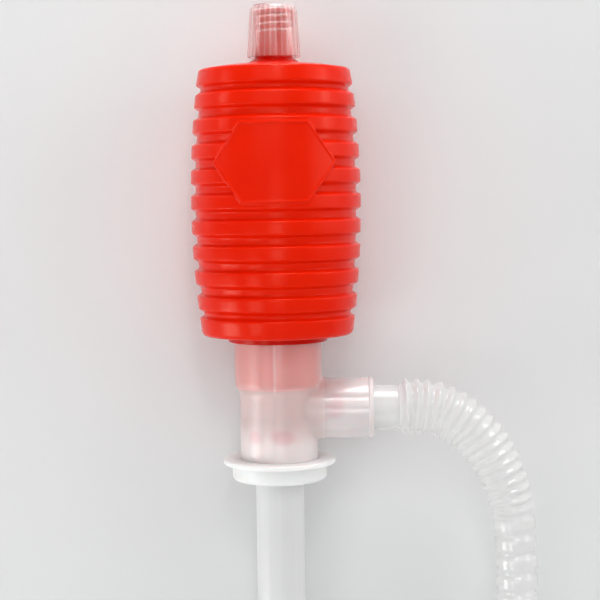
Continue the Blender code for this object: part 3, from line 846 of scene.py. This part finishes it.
# Vent cap: moulded in clear polypropylene, with fine grip ribs outside and the thread in the
# upper half of its bore. It is screwed down to stop the air, and loosened to end the flow.
cap_low, cap_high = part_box("vent_cap")
grip_ribs, grip_depth = 28, 0.0001
rib_points = 8
cap_roof = 0.0021
cap_bore = 0.0081
cap_thread, cap_thread_drop, cap_thread_rise = 0.00032, 0.0095, 0.0082
cap_base_radius, cap_top_radius = 0.010675, 0.00935


def make_cap():
    """The cap: its outline goes down the outside and up the bore. Each of its points says
    whether it has the grip ribs."""
    length = cap_high.z - cap_low.z
    ceiling = length - cap_roof
    outside = rounded(
        [
            (0.0, length, 0),
            (cap_top_radius, length, 0.003),
            (cap_base_radius, 0.0, 0.0005),
            (cap_bore, 0.0, 0.0003),
        ],
        steps=6,
    )[:-6]

    outline = [(point, True) for point in outside]
    outline.append(((cap_bore, 0.0003), False))
    rows = 60
    thread_start = ceiling - cap_thread_drop
    outline.append(((cap_bore, thread_start - 0.0005), False))
    for row in range(rows + 1):
        outline.append(((cap_bore, thread_start + cap_thread_rise * row / rows), False))
    outline.append(((cap_bore, ceiling), False))
    outline.append(((0.0, ceiling), False))

    sides = grip_ribs * rib_points
    points = []
    rings = []
    for (radius, height), outer in outline:
        start = len(points)
        count = sides if radius > 1e-7 else 1
        for side in range(count):
            turn = 2 * math.pi * side / sides
            reach = radius
            if outer and radius > 0.0085:
                wave = 0.5 - 0.5 * math.cos(grip_ribs * turn)
                held = smooth(0.0008, 0.0016, height)
                held *= smooth(length - 0.0004, length - 0.0022, height)
                reach -= grip_depth * (1 - wave**0.6) * held
            elif not outer and thread_start < height < thread_start + cap_thread_rise:
                phase = (height / thread_pitch - turn / (2 * math.pi) + 0.5) % 1.0
                ridge = smooth(0.2, 0.42, 0.5 - abs(phase - 0.5))
                held = smooth(thread_start, thread_start + 0.001, height)
                reach -= cap_thread * ridge * held
            points.append(round_axis(reach, turn, cap_low.z + height))
        rings.append(range(start, start + count))
    return piece_of("vent_cap_moulding", points, ring_faces(rings), sharp=60)


clear_cap, spot = plastic(
    "clear_cap",
    Subsurface_Weight=1.0,
    Subsurface_Radius=(1.0, 0.8, 0.8),
    Subsurface_Scale=0.003,
    IOR=1.8,
    Specular_IOR_Level=1.0,
)
turn = spot.along("Y").math("ARCTAN2", spot.along("Y"), spot.along("X")) * (0.5 / math.pi)
climb = spot.along("Z") * (1 / thread_pitch) - turn + 0.5
crest = climb.to_whole().band(0.30, 0.44)
outer = spot.from_axis().band(0.0083, 0.0086)
# The grip ribs' crests are painted paler and more opaque: partly thicker plastic, partly
# painted highlights that stand in for the ribs' shading.
rib_crest_and_sheen = (turn * grip_ribs).to_whole().band(0.20, 0.45) * outer
# The thread crests in the cap's bore are painted paler and more opaque: partly thicker plastic,
# partly a painted highlight along each crest.
thread_crest_and_sheen = (1.0 - outer) * crest * spot.along("Z").band(cap_high.z - 0.0118, cap_high.z - 0.0112)
hue = spot.clouds(140.0).tint((0.77, 0.31, 0.27, 1.0), (0.82, 0.37, 0.33, 1.0))
hue = spot.along("Z").band(cap_high.z - 0.004, cap_high.z).tint(hue, (0.92, 0.66, 0.64, 1.0))
paint(
    clear_cap,
    Base_Color=(thread_crest_and_sheen + 0.5 * rib_crest_and_sheen).tint(hue, (0.96, 0.80, 0.80, 1.0)),
    Roughness=0.1 + 0.06 * spot.clouds(400.0),
    Alpha=0.15 + 0.18 * outer + 0.10 * rib_crest_and_sheen + 0.7 * thread_crest_and_sheen,
    Normal=spot.clouds(900.0).relief(0.00003),
)
cap = make_cap()
cap.data.materials.append(clear_cap)
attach(cap, "cap")
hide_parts("vent_cap")


# Hose cuffs: the hose is moulded with smooth ends. One is pushed into the branch's mouth, and
# the other has a rim and goes into the tank that is filled.
cuff_bore = 0.0148 / 2
clear_soft, spot = plastic(
    "clear_soft_plastic",
    IOR=1.6,
    Specular_IOR_Level=1.0,
)
drift = spot.clouds(160.0)
paint(
    clear_soft,
    Base_Color=drift.tint((0.88, 0.88, 0.87, 1.0), (0.94, 0.94, 0.935, 1.0)),
    Roughness=0.06 + 0.06 * spot.clouds(300.0),
    Alpha=0.45 - 0.25 * spot.along("X").band(0.045, 0.055) + 0.06 * drift,
    Normal=(drift + 0.3 * spot.clouds(900.0)).relief(0.00008),
)
inlet_low, inlet_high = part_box("hose_inlet_cuff")
plug_radius = branch_bore - gap
neck_radius = 0.009
inlet_cuff = turned(
    "inlet_cuff",
    rounded(
        [
            (cuff_bore, inlet_high.x, 0.0002),
            (neck_radius, inlet_high.x, 0.0003),
            (neck_radius, branch_mouth, 0.0002),
            (plug_radius, branch_mouth, 0.0002),
            (plug_radius, inlet_low.x, 0.0005),
            (cuff_bore, inlet_low.x, 0.0003),
        ]
    ),
)
for vertex in inlet_cuff.data.vertices:
    x, y, z = vertex.co
    vertex.co = (z, y, branch_height - x)
inlet_cuff.data.materials.append(clear_soft)
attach(inlet_cuff, "pump")
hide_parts("hose_inlet_cuff")

end_low, end_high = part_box("hose_end_cuff")
end_x = (end_low.x + end_high.x) / 2
rim_radius = (end_high.x - end_low.x) / 2
rim_top = end_low.z + 0.003
end_cuff_radius = 0.0099
end_cuff = turned(
    "end_cuff",
    rounded(
        [
            (cuff_bore, end_high.z, 0.0002),
            (end_cuff_radius, end_high.z, 0.0003),
            (end_cuff_radius, rim_top, 0.00025),
            (rim_radius, rim_top, 0.0004),
            (rim_radius, end_low.z, 0.0005),
            (cuff_bore, end_low.z, 0.0003),
        ]
    ),
)
for vertex in end_cuff.data.vertices:
    vertex.co.x += end_x
end_cuff.data.materials.append(clear_soft)
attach(end_cuff, "pump")
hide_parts("hose_end_cuff")


# Delivery hose: a thin-walled hose in clear soft plastic. Its first stretch is close bellows,
# which bend over easily, and the rest has wide lands with a groove between them.
hose_start = Vector((0.0483, 0.0, branch_height))
route = (
    (0.0, 0.0),
    (0.0077, 0.0001),
    (0.0162, -0.0011),
    (0.0242, -0.0051),
    (0.0314, -0.0114),
    (0.0374, -0.0194),
    (0.0421, -0.0285),
    (0.0450, -0.0379),
    (0.0466, -0.0487),
    (0.0474, -0.0607),
    (0.0478, -0.0769),
    (0.0480, -0.1100),
    (0.0482, -0.1550),
    (0.0480, -0.2050),
    (0.0475, -0.2600),
    (0.0470, -0.3150),
    (0.0469, -0.3450),
    (0.0469, -0.3786),
)
hose_wall = 0.0006
bellows_end = 0.0713
bellows_pitch, bellows_depth = 0.0039, 0.0018
bellows_start_radius, bellows_end_radius = 0.0118, 0.009
land_pitch, land_radius, groove_depth = 0.00795, 0.0085, 0.0012
rings_per_bellows, rings_per_land = 11, 18


def smooth_route(steps):
    """Points along one smooth curve through the route, and how far along it each lies."""
    ends = [route[0], *route, route[-1]]
    points = []
    for span in range(len(route) - 1):
        before, start, end, after = (Vector(point) for point in ends[span : span + 4])
        for step in range(steps):
            t = step / steps
            points.append(
                0.5
                * (
                    2 * start
                    + (end - before) * t
                    + (2 * before - 5 * start + 4 * end - after) * t**2
                    + (3 * start - before - 3 * end + after) * t**3
                )
            )
    points.append(Vector(route[-1]))
    travelled = [0.0]
    for start, end in zip(points, points[1:]):
        travelled.append(travelled[-1] + (end - start).length)
    return points, travelled


def hose_radius(along, length):
    """Outer radius of the hose at a distance along it."""
    if along < bellows_end:
        share = along / bellows_end
        crest = bellows_start_radius + (bellows_end_radius - bellows_start_radius) * share
        wave = 0.5 + 0.5 * math.cos(2 * math.pi * (bellows_end - along) / bellows_pitch)
        depth = bellows_depth * (1 - 0.3 * share)
        radius = crest - depth * wave**0.8
        return neck_radius + (radius - neck_radius) * smooth(0.0, 0.003, along)
    phase = ((along - bellows_end) / land_pitch) % 1.0
    groove = smooth(0.26, 0.42, abs(phase - 0.5))
    ending = smooth(length - 0.004, length, along)
    return land_radius - groove_depth * groove * (1 - ending)


def make_hose():
    """The hose, and the points that its middle goes through."""
    line, travelled = smooth_route(24)
    length = travelled[-1]
    stops = []
    along = 0.0
    while along < length:
        stops.append(along)
        if along < bellows_end:
            along += bellows_pitch / rings_per_bellows
        else:
            along += land_pitch / rings_per_land
    stops.append(length)
    segments = 40
    points = []
    outer_rings = []
    inner_rings = []
    spot_at = 0
    for along in stops:
        while spot_at < len(line) - 2 and travelled[spot_at + 1] < along:
            spot_at += 1
        span = travelled[spot_at + 1] - travelled[spot_at]
        part = (along - travelled[spot_at]) / span
        middle = line[spot_at].lerp(line[spot_at + 1], part)
        before, after = line[max(0, spot_at - 1)], line[min(len(line) - 1, spot_at + 2)]
        heading = (after - before).normalized()
        side = Vector((-heading.y, heading.x))
        for rings, radius in (
            (outer_rings, hose_radius(along, length)),
            (inner_rings, hose_radius(along, length) - hose_wall),
        ):
            start = len(points)
            for number in range(segments):
                turn = 2 * math.pi * number / segments
                out = side * (radius * math.cos(turn))
                points.append(
                    (
                        hose_start.x + middle.x + out.x,
                        radius * math.sin(turn),
                        hose_start.z + middle.y + out.y,
                    )
                )
            rings.append(range(start, start + segments))
    rings = outer_rings + inner_rings[::-1] + [outer_rings[0]]
    hose = piece_of("delivery_hose", points, ring_faces(rings), sharp=60)
    path = [
        (hose_start.x + point.x, 0.0, hose_start.z + point.y)
        for point in line[::6] + [line[-1]]
    ]
    return hose, path


hose, hose_path = make_hose()
hose.data.materials.append(clear_soft)
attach(hose, "pump")
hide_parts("hose")


# Studio: the pump leans on a pale board that stands on a pale floor. Soft light comes from
# the front left, from the right and from above.
pale_card = (0.74, 0.745, 0.747, 1.0)
backdrop = (0.80, 0.80, 0.81, 1.0)
black = (0.0, 0.0, 0.0, 1.0)


def sheet(name, corners, see_through=False):
    """A pale sheet. Further out it fades, for the camera only, into the backdrop."""
    material, spot = plastic(name, Roughness=0.9, Specular_IOR_Level=0.1, Emission_Strength=1.0)
    straight = spot.node("ShaderNodeLightPath", out="Is Camera Ray")
    faded = straight * spot.from_axis().band(0.3, 1.1)
    paint(
        material,
        Base_Color=faded.tint(pale_card, black),
        Emission_Color=faded.tint(black, backdrop),
    )
    if see_through:
        tree = material.node_tree
        card = Shade(tree, tree.nodes["Principled BSDF"].outputs[0])
        back = card.node("ShaderNodeNewGeometry", out="Backfacing")
        clear = card.node("ShaderNodeBsdfTransparent")
        mixed = card.node("ShaderNodeMixShader", None, {0: back, 1: card, 2: clear})
        tree.links.new(mixed.socket, tree.nodes["Material Output"].inputs["Surface"])
    mesh = bpy.data.meshes.new(name)
    mesh.from_pydata(corners, [], [(0, 1, 2, 3)])
    mesh.materials.append(material)
    plane = bpy.data.objects.new(name, mesh)
    bpy.context.scene.collection.objects.link(plane)


def soft_box(name, place, aim, width, height, watts):
    """A rectangular lamp at a place, turned towards its aim."""
    lamp = bpy.data.lights.new(name, "AREA")
    lamp.shape = "RECTANGLE"
    lamp.size = width
    lamp.size_y = height
    lamp.energy = watts
    box = bpy.data.objects.new(name, lamp)
    box.location = place
    box.rotation_euler = (Vector(aim) - Vector(place)).to_track_quat("-Z", "Y").to_euler()
    box.visible_camera = False
    bpy.context.scene.collection.objects.link(box)


floor_gap = 0.0012
floor_height = foot_low.z - floor_gap
room = 4.0
sheet(
    "floor",
    [
        (-room, -room, floor_height),
        (room, -room, floor_height),
        (room, room, floor_height),
        (-room, room, floor_height),
    ],
)
board_lean = (barrel_radius - foot_radius) / (barrel_middle - foot_low.z)
board_top = 0.75
board_near = foot_radius + 0.0006
board_far = board_near + board_lean * (board_top - foot_low.z)
sheet(
    "board",
    [
        (-room, board_near, floor_height),
        (room, board_near, floor_height),
        (room, board_far, board_top),
        (-room, board_far, board_top),
    ],
    see_through=True,
)
soft_box("key", (-0.14, -1.10, 0.65), (0.0, 0.0, 0.0), 0.9, 0.7, 2.4)
soft_box("low", (0.02, -1.15, -0.05), (0.0, 0.0, 0.05), 0.30, 0.25, 1.0)
soft_box("window", (-0.64, -1.02, -0.32), (0.0, 0.0, 0.0), 0.36, 0.30, 1.6)
soft_box("left", (-0.86, -0.25, -0.25), (0.0, 0.0, -0.05), 0.44, 0.22, 2.2)
soft_box("right", (1.15, -0.35, 0.45), (0.0, 0.0, 0.10), 1.0, 1.0, 4.3)
soft_box("overhead", (0.06, -0.10, 0.95), (0.03, 0.0, 0.1), 0.4, 0.5, 6.2)
soft_box("front", (0.075, -0.78, 0.62), (0.03, 0.0, 0.05), 0.10, 0.12, 0.6)
for side in (-1, 1):
    soft_box("upper", (0.85 * side, -0.2, 0.36), (0.0, 0.0, 0.17), 0.16, 0.18, 0.5)

world = bpy.data.worlds.new("studio")
world.use_nodes = True
tree = world.node_tree
straight = Shade(tree).node("ShaderNodeLightPath", out="Is Camera Ray")
sky = straight.tint((0.33, 0.332, 0.332, 1.0), backdrop)
tree.links.new(sky.socket, tree.nodes["Background"].inputs["Color"])
bpy.context.scene.world = world
bpy.context.scene.view_settings.view_transform = "Standard"

lens = bpy.data.cameras.new("camera")
eye_distance = 0.62
focal_share = 149.2  # focal length in millimetres for each metre of distance
lens.sensor_width = 36.0
lens.lens = focal_share * eye_distance
camera = bpy.data.objects.new("camera", lens)
bpy.context.scene.collection.objects.link(camera)
aim = Vector((0.0091, 0.0, 0.0657))
tip_down = math.radians(3.9)
roll = math.radians(0.77)
away = Vector((0.0, -math.cos(tip_down), math.sin(tip_down)))
camera.matrix_world = (
    Matrix.Translation(aim + away * eye_distance)
    @ (-away).to_track_quat("-Z", "Y").to_matrix().to_4x4()
    @ Matrix.Rotation(-roll, 4, "Z")
)
bpy.context.scene.camera = camera
